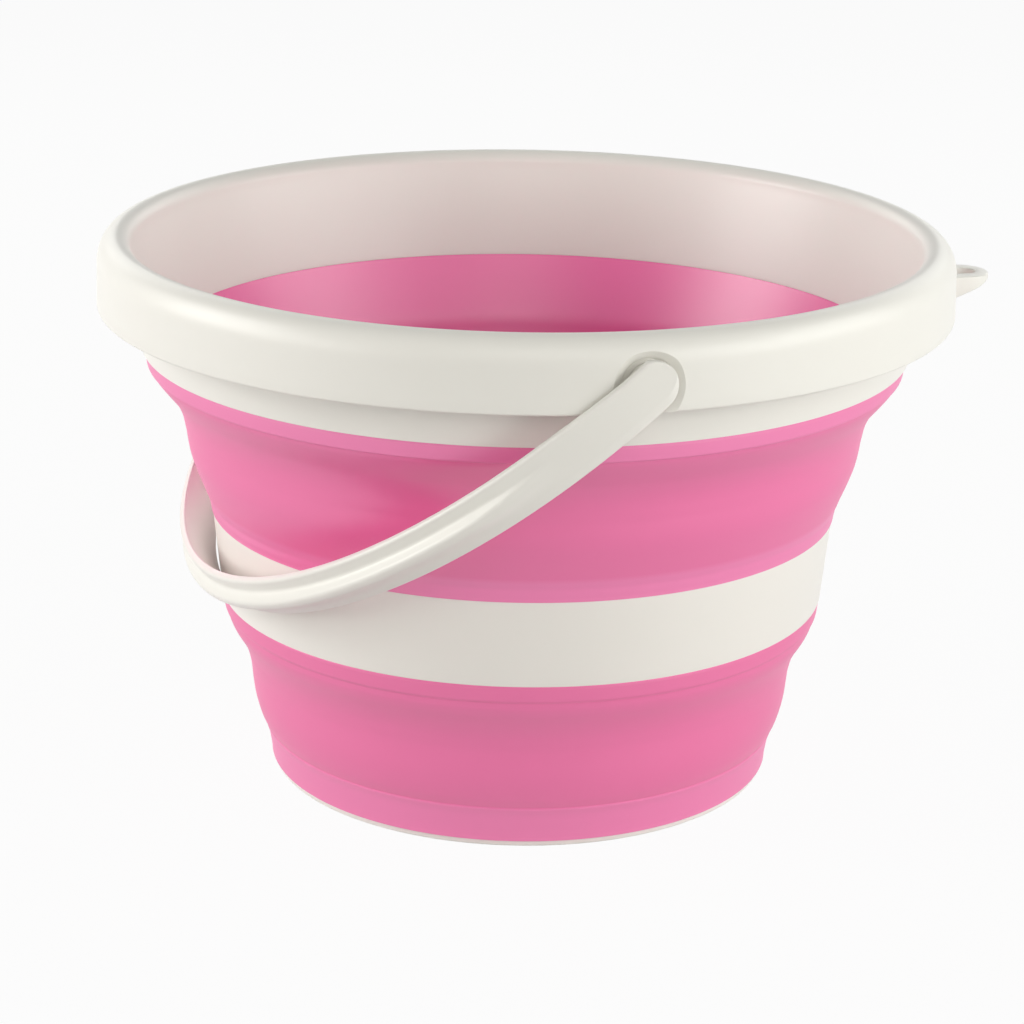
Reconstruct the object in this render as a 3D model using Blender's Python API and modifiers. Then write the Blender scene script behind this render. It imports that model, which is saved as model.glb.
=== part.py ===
"""Collapsible camp bucket: two stiff rings and a base joined by two soft folding walls, with a bail.

Metres, +Z up. The origin is on the bucket's axis, on the plane it stands on. The bail turns about
the Y direction and hangs towards -X, and the hang tab points towards +X.
"""
import math

import bmesh
import bpy
import numpy as np
from mathutils import Matrix, Vector

# Heights of the stack, from the top down
rim_height = 0.0418
upper_wall_height = 0.0639
mid_ring_height = 0.0329
lower_wall_height = 0.0677
foot_lift = 0.0023

# Clearances
seat_gap = 0.0003
boss_clearance = 0.0010
strap_gap = 0.0008
overrun = 0.002
weld_distance = 0.00001

# Rim: a lip over a channel, with a skirt outside and a tapering wall inside
rim_radius = 0.1602
skirt_depth = 0.0262
skirt_thickness = 0.0020
skirt_edge_radius = 0.0009
lip_reach = 0.0072
lip_drop = 0.0100
lip_thickness = 0.0034
lip_inner_reach = 0.0056
lip_inner_drop = 0.0052
rim_band_inset = 0.0158
rim_band_draft = 0.0022
rim_bore_inset = 0.0062
rim_wall_thickness = 0.0032
web_count = 16
web_thickness = 0.0016
web_setback = 0.0040

# Soft walls: a collar, a sloping bevel, a crease, a bulging panel and a second collar
wall_thickness = 0.0022
collar_step = 0.0010
collar_draft = 0.0010
collar_proud = 0.0005
crease_share = 0.67
bevel_top_share = 0.889
upper_crease_inset = 0.0130
lower_crease_inset = 0.0088
upper_collar_height = 0.0054
foot_collar_height = 0.0111
foot_draft = 0.0017
panel_lean_low_share = 0.46
panel_lean_high_share = 0.22
panel_steps = 5

# Tongues of the stiff rings, moulded into grooves of the soft collars
tongue_thickness = 0.0012
tongue_height = 0.0045

# Mid ring
mid_ring_inset = 0.0127
mid_ring_draft = 0.0030
mid_ring_thickness = 0.0034
ring_edge = 0.0005

# Base: a dish whose upright edge is clipped inside the pink foot
foot_inset = 0.0100
foot_skin = 0.0026
base_inset = 0.0008
base_edge = 0.0009
base_upstand_height = 0.0080
base_upstand_thickness = 0.0018
base_floor_height = 0.0046
base_fillet = 0.0020
underside_depth = 0.0014
underside_ring_width = 0.0145
underside_hub_radius = 0.0160
underside_rib_width = 0.0024
underside_pocket_count = 8

# Bail: a flat strap with a rib along its outer side, and a snap-in pivot at each end
pivot_drop = 0.0166
strap_width = 0.0184
strap_thickness = 0.0030
strap_edge = 0.0006
strap_arc_offset = 0.0012
strap_steps = 45
rib_root_width = 0.0068
rib_tip_width = 0.0042
rib_height = 0.0044
rib_root_depth = 0.0020
rib_arc_deg = 152.0
rib_fade_deg = 10.0
rib_fade_share = 0.12
rib_steps = 38
hub_proud = 0.0002
boss_radius = 0.0084
boss_height = 0.0041
peg_radius = 0.0036
peg_catch = 0.0011
peg_tip_length = 0.0026
peg_tip_inset = 0.0004
peg_slot_width = 0.0016
peg_root = 0.0008
pivot_floor_thickness = 0.0024

# Recess round each pivot, and the block behind it
recess_radius = 0.0124
recess_depth = 0.0014
block_half_width = 0.0140
block_clear = 0.0006

# Hang tab
tab_reach = 0.0263
tab_half_width = 0.0107
tab_top_rise = 0.0026
tab_plate_thickness = 0.0026
tab_wall_thickness = 0.0022
tab_tip_depth = 0.0020
tab_slope_share = 0.375
tab_slot_length = 0.0160
tab_slot_width = 0.0090
tab_slot_inset = 0.0050

# Roundness
turn_steps = 52
round_steps = 24
lip_steps = 5
edge_steps = 3
corner_steps = 8

# Colours, as red, green, blue and alpha
white_colour = (0.90, 0.89, 0.86, 1.0)
pink_colour = (0.83, 0.22, 0.42, 1.0)
plastic_roughness = 0.38
rubber_roughness = 0.50

# Levels of the joints between pieces, and places that several pieces share
lower_joint = foot_lift + lower_wall_height
ring_top_joint = lower_joint + mid_ring_height
upper_joint = ring_top_joint + upper_wall_height
bucket_height = upper_joint + rim_height
skirt_bottom = bucket_height - skirt_depth
pivot_height = bucket_height - pivot_drop
crest_radius = rim_radius - lip_reach
rim_band_radius = rim_radius - rim_band_inset
rim_bore_radius = rim_band_radius - rim_bore_inset
upper_crease_radius = rim_band_radius - upper_crease_inset
mid_ring_top_radius = upper_crease_radius - mid_ring_inset
mid_ring_foot_radius = mid_ring_top_radius - mid_ring_draft
lower_crease_radius = mid_ring_foot_radius - lower_crease_inset
foot_radius = lower_crease_radius - foot_inset
base_radius = foot_radius - base_inset
strap_inner_radius = rim_radius + strap_gap
strap_half_width = strap_width / 2
recess_floor = strap_inner_radius - boss_height - seat_gap
block_back = recess_floor - pivot_floor_thickness
tab_top = skirt_bottom + tab_top_rise
tab_tip = rim_radius + tab_reach


def clear_scene():
    """Remove what a new file holds."""
    for item in list(bpy.data.objects):
        bpy.data.objects.remove(item, do_unlink=True)


def make_collection(name):
    collection = bpy.data.collections.new(name)
    bpy.context.scene.collection.children.link(collection)
    return collection


def make_material(name, colour, roughness):
    material = bpy.data.materials.new(name)
    material.use_nodes = True
    shader = material.node_tree.nodes["Principled BSDF"]
    shader.inputs["Base Color"].default_value = colour
    shader.inputs["Roughness"].default_value = roughness
    shader.inputs["Metallic"].default_value = 0.0
    material.diffuse_color = colour
    return material


clear_scene()
bucket = make_collection("collapsible_bucket")
cutters = make_collection("cutters")
white_plastic = make_material("white_plastic", white_colour, plastic_roughness)
pink_rubber = make_material("pink_rubber", pink_colour, rubber_roughness)


# Outlines, as lists of (radius, height)

def arc_points(centre, reach, drop, start_deg, end_deg, steps):
    """Points on an ellipse quarter or half, with reach across and drop up and down."""
    angles = np.radians(np.linspace(start_deg, end_deg, steps + 1))
    return [(centre[0] + reach * math.cos(a), centre[1] + drop * math.sin(a)) for a in angles]


def inset_points(points, distance):
    """Move a line that runs down an outer side inwards, square to itself."""
    line = np.array(points)
    step = np.diff(line, axis=0)
    step = step / np.linalg.norm(step, axis=1)[:, None]
    tangent = np.vstack([step[:1], step[:-1] + step[1:], step[-1:]])
    tangent = tangent / np.linalg.norm(tangent, axis=1)[:, None]
    normal = np.stack([tangent[:, 1], -tangent[:, 0]], axis=1)
    return [tuple(point) for point in line + distance * normal]


def height_at_radius(first, second, radius):
    """Height where the line through two points has the given radius."""
    share = (radius - first[0]) / (second[0] - first[0])
    return first[1] + share * (second[1] - first[1])


def panel_points(top, bottom):
    """A bulging panel from its crease down to its collar, as a cubic curve."""
    rise = (top[1] - bottom[1]) / 3
    top_pull = (top[0] - panel_lean_high_share * rise, top[1] - rise)
    bottom_pull = (bottom[0] + panel_lean_low_share * rise, bottom[1] + rise)
    points = []
    for t in np.linspace(0, 1, panel_steps + 1):
        weights = ((1 - t) ** 3, 3 * t * (1 - t) ** 2, 3 * t * t * (1 - t), t ** 3)
        controls = (top, top_pull, bottom_pull, bottom)
        points.append(tuple(sum(w * p[axis] for w, p in zip(weights, controls)) for axis in (0, 1)))
    return points


def groove(centre_radius, edge_height, into, across):
    """Four corners of a groove for a tongue. into is 1 or -1 in height, across 1 or -1 in radius."""
    half = tongue_thickness / 2 + seat_gap
    depth = into * (tongue_height + seat_gap)
    near = centre_radius - across * half
    far = centre_radius + across * half
    return [(near, edge_height), (near, edge_height + depth),
            (far, edge_height + depth), (far, edge_height)]


def tongue(centre_radius, edge_height, out, across):
    """Four corners of a tongue that stands out of a ring's edge."""
    half = tongue_thickness / 2
    near = centre_radius - across * half
    far = centre_radius + across * half
    reach = out * tongue_height
    return [(near, edge_height), (near, edge_height + reach),
            (far, edge_height + reach), (far, edge_height)]


rim_tongue_radius = (rim_bore_radius + rim_band_radius - collar_step) / 2
ring_top_tongue_radius = mid_ring_top_radius - mid_ring_thickness / 2
ring_foot_tongue_radius = mid_ring_foot_radius - mid_ring_thickness / 2


def wall_outer_points(top_radius, crease_radius, bottom_radius, low, high, collar_height, draft):
    """Outer side of a soft wall, from the top edge down, between two joint heights."""
    height = high - low
    top = (top_radius, high - seat_gap)
    bevel_top = (top_radius - collar_draft, low + bevel_top_share * height)
    crease = (crease_radius, low + crease_share * height)
    panel_foot = (bottom_radius + draft, low + collar_height)
    bottom = (bottom_radius, low + seat_gap)
    return [top, bevel_top] + panel_points(crease, panel_foot) + [bottom]


upper_wall_outer = wall_outer_points(
    rim_band_radius - collar_step, upper_crease_radius, mid_ring_top_radius + collar_proud,
    ring_top_joint, upper_joint, upper_collar_height, collar_draft)
lower_wall_outer = wall_outer_points(
    mid_ring_foot_radius - collar_proud / 2, lower_crease_radius, foot_radius,
    foot_lift, lower_joint, foot_collar_height, foot_draft)


def wall_inner_points(outer, bore_radius):
    """Inner side of a soft wall, from its upper collar down to just above its lower collar."""
    inner = inset_points(outer[1:-1], wall_thickness)
    corner = (bore_radius, height_at_radius(inner[0], inner[1], bore_radius))
    return [(bore_radius, outer[0][1]), corner] + inner[1:-1]


def upper_wall_outline():
    inner = wall_inner_points(upper_wall_outer, rim_bore_radius)
    collar_bore = mid_ring_top_radius - mid_ring_thickness
    collar_top = (collar_bore, upper_wall_outer[-2][1])
    collar_foot = (collar_bore, upper_wall_outer[-1][1])
    bottom_groove = groove(ring_top_tongue_radius, collar_foot[1], 1, -1)
    top_groove = groove(rim_tongue_radius, upper_wall_outer[0][1], -1, 1)
    return (upper_wall_outer + bottom_groove + [collar_foot, collar_top]
            + inner[::-1] + top_groove)


def lower_wall_outline():
    ring_bore = mid_ring_foot_radius - mid_ring_thickness
    inner = wall_inner_points(lower_wall_outer, ring_bore)
    foot_bore = foot_radius - foot_skin
    ledge = foot_lift + base_upstand_height + seat_gap
    dish_bore = foot_bore - seat_gap - base_upstand_thickness
    foot = [(foot_bore, lower_wall_outer[-1][1]), (foot_bore, ledge),
            (dish_bore, ledge), (dish_bore, lower_wall_outer[-2][1])]
    top_groove = groove(ring_foot_tongue_radius, lower_wall_outer[0][1], -1, 1)
    return lower_wall_outer + foot + inner[::-1] + top_groove


def mid_ring_outline():
    half_step = ring_edge / 2
    outer = [(mid_ring_top_radius - ring_edge, ring_top_joint),
             (mid_ring_top_radius, ring_top_joint - ring_edge),
             (mid_ring_foot_radius, lower_joint + ring_edge),
             (mid_ring_foot_radius - half_step, lower_joint)]
    foot_bore = (mid_ring_foot_radius - mid_ring_thickness, lower_joint)
    top_bore = (mid_ring_top_radius - mid_ring_thickness, ring_top_joint)
    foot_tongue = tongue(ring_foot_tongue_radius, lower_joint, -1, -1)
    top_tongue = tongue(ring_top_tongue_radius, ring_top_joint, 1, 1)
    return outer + foot_tongue + [foot_bore, top_bore] + top_tongue


def rim_inner_wall_radius(height):
    """Inside face of the rim, which tapers in towards the soft wall."""
    lip_foot = bucket_height - lip_inner_drop
    share = (height - upper_joint) / (lip_foot - upper_joint)
    return rim_bore_radius + share * (crest_radius - lip_inner_reach - rim_bore_radius)


def channel_outline(sink):
    """The channel between skirt and inner wall, from its roof down, grown by sink on all sides."""
    lip_centre = (crest_radius, bucket_height - lip_drop)
    skirt_face = rim_radius - skirt_thickness
    band_top = rim_band_radius + rim_band_draft
    inner_face = rim_inner_wall_radius(lip_centre[1]) + rim_wall_thickness
    roof_drop = lip_drop - lip_thickness
    outer_side = arc_points(lip_centre, skirt_face - crest_radius + sink, roof_drop + sink, 90, 0, 3)
    inner_side = arc_points(lip_centre, crest_radius - inner_face + sink, roof_drop + sink, 180, 90, 3)
    low = skirt_bottom + skirt_edge_radius
    return outer_side, [(skirt_face + sink, low), (band_top - sink, low)], inner_side


def rim_outline():
    lip_centre = (crest_radius, bucket_height - lip_drop)
    lip_outer = arc_points(lip_centre, lip_reach, lip_drop, 90, 0, lip_steps)
    edge_centre = (rim_radius - skirt_edge_radius, skirt_bottom + skirt_edge_radius)
    skirt_edge = arc_points(edge_centre, skirt_edge_radius, skirt_edge_radius, 0, -90, edge_steps)
    roof_outer, feet, roof_inner = channel_outline(0)
    band_foot = (rim_band_radius, upper_joint)
    rim_tongue = tongue(rim_tongue_radius, upper_joint, -1, -1)
    bore_foot = (rim_bore_radius, upper_joint)
    inner_centre = (crest_radius, bucket_height - lip_inner_drop)
    lip_inner = arc_points(inner_centre, lip_inner_reach, lip_inner_drop, 180, 90, lip_steps - 1)
    return (lip_outer + skirt_edge + [feet[0]] + roof_outer[::-1] + roof_inner[:-1][::-1]
            + [feet[1], band_foot] + rim_tongue + [bore_foot] + lip_inner[:-1])


def base_outline():
    upstand_outer = foot_radius - foot_skin - seat_gap
    upstand_inner = upstand_outer - base_upstand_thickness
    upstand_top = foot_lift + base_upstand_height
    return [(0, base_floor_height),
            (upstand_inner - base_fillet, base_floor_height),
            (upstand_inner, base_floor_height + base_fillet),
            (upstand_inner, upstand_top),
            (upstand_outer, upstand_top),
            (upstand_outer, foot_lift),
            (base_radius, foot_lift),
            (base_radius, base_edge),
            (base_radius - base_edge, 0),
            (0, 0)]


# Solids

def add_object(name, mesh, material, collection):
    item = bpy.data.objects.new(name, mesh)
    if material:
        mesh.materials.append(material)
    collection.objects.link(item)
    return item


def evaluated_mesh(item):
    """The object's mesh after its modifiers, or a curve's surface, in the object's own frame."""
    graph = bpy.context.evaluated_depsgraph_get()
    graph.update()
    return bpy.data.meshes.new_from_object(item.evaluated_get(graph))


def weld(mesh):
    work = bmesh.new()
    work.from_mesh(mesh)
    bmesh.ops.remove_doubles(work, verts=work.verts, dist=weld_distance)
    work.to_mesh(mesh)
    work.free()


def smooth(mesh, angle_deg=28):
    mesh.shade_smooth()
    mesh.set_sharp_from_angle(angle=math.radians(angle_deg))


def turned(name, outline, material, collection, closed=True, steps=turn_steps):
    """Turn an outline about Z. It runs down the outer side, and an open one starts and ends on Z."""
    points = [(radius, 0, height) for radius, height in outline]
    edges = [(i, i + 1) for i in range(len(points) - 1)]
    if closed:
        edges.append((len(points) - 1, 0))
    profile = bpy.data.meshes.new(name + "_profile")
    profile.from_pydata(points, edges, [])
    draft = add_object(name + "_draft", profile, None, collection)
    screw = draft.modifiers.new("turn", "SCREW")
    screw.axis = "Z"
    screw.steps = steps
    screw.render_steps = steps
    screw.use_merge_vertices = True
    screw.merge_threshold = weld_distance
    mesh = evaluated_mesh(draft)
    mesh.name = name
    weld(mesh)
    smooth(mesh)
    bpy.data.objects.remove(draft)
    bpy.data.meshes.remove(profile)
    return add_object(name, mesh, material, collection)


def cylinder(name, radius, start, end, far_radius=None):
    """A cylinder or cone along Y from start to end, centred on the Y axis."""
    work = bmesh.new()
    bmesh.ops.create_cone(work, cap_ends=True, segments=round_steps, radius1=radius,
                          radius2=radius if far_radius is None else far_radius,
                          depth=abs(end - start))
    turn = Matrix.Rotation(math.radians(-90 if end > start else 90), 4, "X")
    place = Matrix.Translation((0, (start + end) / 2, 0))
    bmesh.ops.transform(work, matrix=place @ turn, verts=work.verts)
    mesh = bpy.data.meshes.new(name)
    work.to_mesh(mesh)
    work.free()
    smooth(mesh)
    return add_object(name, mesh, None, cutters)


def box(name, low, high, turn_deg=0):
    """A box between two corners, turned about Z."""
    work = bmesh.new()
    bmesh.ops.create_cube(work, size=1)
    size = Vector(high) - Vector(low)
    middle = (Vector(high) + Vector(low)) / 2
    place = Matrix.Rotation(math.radians(turn_deg), 4, "Z") @ Matrix.Translation(middle)
    bmesh.ops.transform(work, matrix=place @ Matrix.Diagonal((*size, 1)), verts=work.verts)
    mesh = bpy.data.meshes.new(name)
    work.to_mesh(mesh)
    work.free()
    return add_object(name, mesh, None, cutters)


def extruded(name, outline, low, high):
    """A flat outline in X and Y, filled and raised from low to high."""
    curve = bpy.data.curves.new(name, "CURVE")
    curve.dimensions = "2D"
    curve.fill_mode = "BOTH"
    curve.extrude = (high - low) / 2
    spline = curve.splines.new("POLY")
    spline.points.add(len(outline) - 1)
    for point, (x, y) in zip(spline.points, outline):
        point.co = (x, y, 0, 1)
    spline.use_cyclic_u = True
    draft = bpy.data.objects.new(name + "_draft", curve)
    cutters.objects.link(draft)
    mesh = evaluated_mesh(draft)
    mesh.transform(Matrix.Translation((0, 0, (high + low) / 2)))
    weld(mesh)
    bpy.data.objects.remove(draft)
    mesh.name = name
    return add_object(name, mesh, None, cutters)


def swept(name, section, path, radii=None, closed_path=False):
    """Carry a closed section along a flat path. The section's X points to the path's left."""
    shape = bpy.data.curves.new(name + "_section", "CURVE")
    shape.dimensions = "2D"
    outline = shape.splines.new("POLY")
    outline.points.add(len(section) - 1)
    for point, (x, y) in zip(outline.points, section):
        point.co = (x, y, 0, 1)
    outline.use_cyclic_u = True
    guide = bpy.data.objects.new(name + "_section", shape)
    cutters.objects.link(guide)
    curve = bpy.data.curves.new(name, "CURVE")
    curve.dimensions = "2D"
    curve.fill_mode = "NONE"
    curve.bevel_mode = "OBJECT"
    curve.bevel_object = guide
    curve.use_fill_caps = True
    spline = curve.splines.new("POLY")
    spline.points.add(len(path) - 1)
    for index, (x, y) in enumerate(path):
        spline.points[index].co = (x, y, 0, 1)
        spline.points[index].radius = radii[index] if radii else 1
    draft = bpy.data.objects.new(name + "_draft", curve)
    cutters.objects.link(draft)
    mesh = evaluated_mesh(draft)
    weld(mesh)
    work = bmesh.new()
    work.from_mesh(mesh)
    bmesh.ops.recalc_face_normals(work, faces=work.faces)
    work.to_mesh(mesh)
    work.free()
    smooth(mesh)
    bpy.data.objects.remove(draft)
    bpy.data.objects.remove(guide)
    mesh.name = name
    return add_object(name, mesh, None, cutters)


def joined(name, items):
    """One cutter object that holds several bodies."""
    work = bmesh.new()
    for item in items:
        work.from_mesh(item.data)
        bpy.data.objects.remove(item)
    mesh = bpy.data.meshes.new(name)
    work.to_mesh(mesh)
    work.free()
    return add_object(name, mesh, None, cutters)


def combine(item, other, operation):
    """Add a Boolean modifier. The object that it reads is hidden, and moves with the item."""
    modifier = item.modifiers.new(operation.lower() + "_" + other.name, "BOOLEAN")
    modifier.operation = operation
    modifier.object = other
    other.parent = item
    other.hide_render = True
    other.display_type = "WIRE"


# Rim

def radial_webs():
    """Boxes that become the stiffening webs inside the channel."""
    webs = []
    low = skirt_bottom + web_setback
    for index in range(web_count):
        turn = (index + 0.5) * 360 / web_count
        half = web_thickness / 2
        webs.append(box(f"web_{index}", (crest_radius - lip_reach - overrun, -half, low),
                        (rim_radius, half, bucket_height), turn))
    return webs


def pivot_blocks():
    """Boxes that become the thick blocks behind the two pivot recesses."""
    blocks = []
    for side in (-1, 1):
        near, far = sorted((side * block_back, side * rim_radius))
        blocks.append(box(f"block_{side}", (-block_half_width, near, skirt_bottom + block_clear),
                          (block_half_width, far, bucket_height)))
    return blocks


def channel_filling(sink):
    outer_side, feet, inner_side = channel_outline(sink)
    return turned("channel_filling", outer_side + feet + inner_side[:-1], None, cutters)


def tab_plan(inset, root):
    """Plan outline of the hang tab: straight sides and a round end."""
    half = tab_half_width - inset
    centre = tab_tip - tab_half_width
    end = arc_points((centre, 0), half, half, 90, -90, corner_steps)
    return [(root, half)] + end + [(root, -half)]


def hang_tab():
    """A flat plate with a wall below its edge, cut away on a slope towards the tip."""
    root = rim_band_radius + rim_band_draft / 2
    low = upper_joint - overrun
    plate = extruded("hang_tab", tab_plan(0, root), low, tab_top)
    hollow = extruded("tab_hollow", tab_plan(tab_wall_thickness, root + tab_wall_thickness),
                      low - overrun, tab_top - tab_plate_thickness)
    combine(plate, hollow, "DIFFERENCE")
    tip_foot = tab_top - tab_tip_depth
    run = tab_tip - root
    wedge_box = box("tab_wedge", (-2 * run, -2 * tab_half_width, -2 * run), (2 * run, 2 * tab_half_width, 0))
    wedge_box.data.transform(Matrix.Translation((tab_tip, 0, tip_foot))
                             @ Matrix.Rotation(-math.atan(tab_slope_share), 4, "Y"))
    combine(plate, wedge_box, "DIFFERENCE")
    return plate


def tab_slot():
    half = tab_slot_width / 2
    outer_centre = tab_tip - tab_slot_inset - half
    inner_centre = outer_centre - tab_slot_length + tab_slot_width
    outline = (arc_points((outer_centre, 0), half, half, 90, -90, corner_steps)
               + arc_points((inner_centre, 0), half, half, -90, -270, corner_steps))
    return extruded("tab_slot", outline, skirt_bottom - tab_reach, tab_top + overrun)


def make_rim():
    rim = turned("rim", rim_outline(), white_plastic, bucket)
    sink = web_thickness / 4
    inserts = joined("channel_inserts", radial_webs() + pivot_blocks())
    combine(inserts, channel_filling(sink), "INTERSECT")
    combine(rim, inserts, "UNION")
    combine(rim, hang_tab(), "UNION")
    combine(rim, tab_slot(), "DIFFERENCE")
    for side in (-1, 1):
        outside = side * (rim_radius + overrun)
        recess_edge = side * rim_radius
        slope = (recess_radius - boss_radius - boss_clearance) / recess_depth
        flare = recess_radius + slope * overrun
        recess = cylinder(f"recess_{side}", boss_radius + boss_clearance,
                          recess_edge - side * recess_depth, outside, flare)
        pocket = cylinder(f"boss_pocket_{side}", boss_radius + boss_clearance,
                          side * recess_floor, outside)
        hole = cylinder(f"peg_hole_{side}", peg_radius + seat_gap,
                        side * (block_back - overrun), outside)
        for cutter in (recess, pocket, hole):
            cutter.location.z = pivot_height
            combine(rim, cutter, "DIFFERENCE")
    return rim


# Soft walls, mid ring and base

def make_upper_bellows():
    return turned("upper_bellows", upper_wall_outline(), pink_rubber, bucket)


def make_lower_bellows():
    return turned("lower_bellows", lower_wall_outline(), pink_rubber, bucket)


def make_mid_ring():
    return turned("mid_ring", mid_ring_outline(), white_plastic, bucket)


def underside_pocket(index):
    """One of the sector-shaped hollows between the ribs under the base."""
    outer = base_radius - base_edge - underside_ring_width
    pitch = math.tau / underside_pocket_count
    middle = index * pitch
    points = []
    for radius, order in ((outer, 1), (underside_hub_radius, -1)):
        spread = pitch / 2 - math.asin(underside_rib_width / 2 / radius)
        for angle in np.linspace(-order * spread, order * spread, corner_steps - 1):
            points.append((radius * math.cos(middle + angle), radius * math.sin(middle + angle)))
    return extruded(f"pocket_{index}", points, -overrun, underside_depth)


def make_base():
    base = turned("base", base_outline(), white_plastic, bucket, closed=False)
    pockets = joined("underside_pockets", [underside_pocket(i) for i in range(underside_pocket_count)])
    combine(base, pockets, "DIFFERENCE")
    return base


# Bail, modelled level in its own frame, with its pivots on the Y axis and its arc towards -X

def strap_path(radius):
    """Half a circle, with a short straight run to each pivot."""
    centre = -strap_arc_offset
    arc = arc_points((centre, 0), radius, radius, 270, 90, strap_steps)
    return [(0, -radius)] + arc + [(0, radius)]


def strap_section():
    """A flat bar with chamfered long edges. X is the outward side."""
    thick = strap_thickness / 2
    wide = strap_half_width
    cut = strap_edge
    return [(thick, cut - wide), (thick, wide - cut), (thick - cut, wide), (cut - thick, wide),
            (-thick, wide - cut), (-thick, cut - wide), (cut - thick, -wide), (thick - cut, -wide)]


def rib_section():
    """A rib on the strap's outer face, wider at its root, rooted a little inside the strap."""
    root = rib_root_width / 2
    tip = rib_tip_width / 2
    shoulder = rib_height - rib_tip_width / 4
    return [(-rib_root_depth, -root), (shoulder, -tip), (rib_height, -tip / 2),
            (rib_height, tip / 2), (shoulder, tip), (-rib_root_depth, root)]


def rib_path(radius):
    half = rib_arc_deg / 2
    return arc_points((-strap_arc_offset, 0), radius, radius, 180 + half, 180 - half, rib_steps)


def rib_scales():
    """Section scale along the rib: full in the middle, fading away at both ends."""
    half = rib_arc_deg / 2
    scales = []
    for angle in np.linspace(-half, half, rib_steps + 1):
        share = min(1.0, (half - abs(angle)) / rib_fade_deg)
        ease = share * share * (3 - 2 * share)
        scales.append(rib_fade_share + (1 - rib_fade_share) * ease)
    return scales


def outward(section):
    """Turn a section round, because the path runs with its outer side on the right."""
    return [(-x, y) for x, y in section][::-1]


def strap_end(side):
    """Round end of the strap: a disc on the pivot axis, just proud of the strap all round."""
    inner = strap_inner_radius - hub_proud
    outer = strap_inner_radius + strap_thickness + hub_proud
    edge = strap_half_width + hub_proud
    flat = edge - strap_edge
    outline = [(0, outer), (flat, outer), (edge, outer - strap_edge),
               (edge, inner + strap_edge), (flat, inner), (0, inner)]
    disc = turned(f"strap_end_{side}", outline, None, cutters, closed=False, steps=round_steps)
    disc.data.transform(Matrix.Rotation(-side * math.pi / 2, 4, "X"))
    return disc


def make_bail():
    middle_radius = strap_inner_radius + strap_thickness / 2
    outer_radius = strap_inner_radius + strap_thickness
    strap = swept("bail_handle", outward(strap_section()), strap_path(middle_radius))
    cutters.objects.unlink(strap)
    bucket.objects.link(strap)
    strap.data.materials.append(white_plastic)
    slots = []
    for side in (-1, 1):
        sink = strap_thickness / 2
        boss_end = recess_floor + seat_gap
        catch = block_back - seat_gap
        tip = catch - peg_tip_length
        pieces = [
            strap_end(side),
            cylinder(f"boss_{side}", boss_radius, side * boss_end,
                     side * (strap_inner_radius + sink)),
            cylinder(f"peg_{side}", peg_radius, side * (catch - peg_tip_inset), side * (boss_end + sink)),
            cylinder(f"catch_{side}", peg_radius - peg_catch, side * tip, side * catch,
                     peg_radius + peg_catch)]
        for piece in pieces:
            combine(strap, piece, "UNION")
        half = peg_slot_width / 2
        near, far = sorted((side * (tip - overrun), side * (boss_end - peg_root)))
        reach = peg_radius + peg_catch + overrun
        slots.append(box(f"peg_slot_{side}", (-half, near, -reach), (half, far, reach)))
    combine(strap, joined("peg_slots", slots), "DIFFERENCE")
    rib = swept("rib", outward(rib_section()), rib_path(outer_radius), rib_scales())
    combine(strap, rib, "UNION")
    return strap


def bucket_radius_at(height):
    """Outermost radius of the standing bucket at a height."""
    outline = [(rim_radius, bucket_height), (rim_radius, skirt_bottom),
               (rim_band_radius + rim_band_draft, skirt_bottom), (rim_band_radius, upper_joint)]
    outline += upper_wall_outer
    outline += [(mid_ring_top_radius, ring_top_joint), (mid_ring_foot_radius, lower_joint)]
    outline += lower_wall_outer
    heights = np.array([point[1] for point in outline])[::-1]
    radii = np.array([point[0] for point in outline])[::-1]
    return np.interp(height, heights, radii)


def bail_clearance(tilt):
    """Least gap from the strap's inner edges to the bucket, with the bail tilt below level."""
    angles = np.linspace(0, math.pi / 2, 4 * strap_steps)
    along = strap_arc_offset + strap_inner_radius * np.cos(angles)
    across = strap_inner_radius * np.sin(angles)
    gaps = []
    for edge in (-strap_half_width, strap_half_width):
        x = along * math.cos(tilt) + edge * math.sin(tilt)
        z = pivot_height - along * math.sin(tilt) + edge * math.cos(tilt)
        gaps.append(np.min(np.hypot(x, across) - bucket_radius_at(z)))
    return min(gaps)


def rest_tilt():
    """Tilt at which the hanging bail comes to rest against the bucket's side."""
    clear, touching = math.radians(15), math.radians(80)
    for _ in range(40):
        middle = (clear + touching) / 2
        if bail_clearance(middle) > seat_gap:
            clear = middle
        else:
            touching = middle
    return clear


make_rim()
make_upper_bellows()
make_mid_ring()
make_lower_bellows()
make_base()
bail = make_bail()
bail.location = (0, 0, pivot_height)
bail.rotation_euler = (0, -rest_tilt(), 0)
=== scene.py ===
import math

import bmesh
import bpy
import numpy as np
from mathutils import Matrix, Vector


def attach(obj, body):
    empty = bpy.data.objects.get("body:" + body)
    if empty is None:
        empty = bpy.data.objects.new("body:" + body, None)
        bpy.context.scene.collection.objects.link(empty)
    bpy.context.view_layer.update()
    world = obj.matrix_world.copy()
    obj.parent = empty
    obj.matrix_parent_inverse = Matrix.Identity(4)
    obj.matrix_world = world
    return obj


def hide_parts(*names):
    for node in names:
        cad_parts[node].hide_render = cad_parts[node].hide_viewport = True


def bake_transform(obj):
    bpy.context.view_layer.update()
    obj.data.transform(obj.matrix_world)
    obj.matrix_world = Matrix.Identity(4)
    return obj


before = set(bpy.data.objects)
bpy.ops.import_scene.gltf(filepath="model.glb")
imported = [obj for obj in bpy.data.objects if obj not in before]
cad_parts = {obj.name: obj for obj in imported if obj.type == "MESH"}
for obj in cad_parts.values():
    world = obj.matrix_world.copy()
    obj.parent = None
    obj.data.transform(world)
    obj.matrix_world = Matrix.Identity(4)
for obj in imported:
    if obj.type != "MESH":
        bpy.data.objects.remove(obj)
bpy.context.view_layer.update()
mm = 0.001
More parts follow.
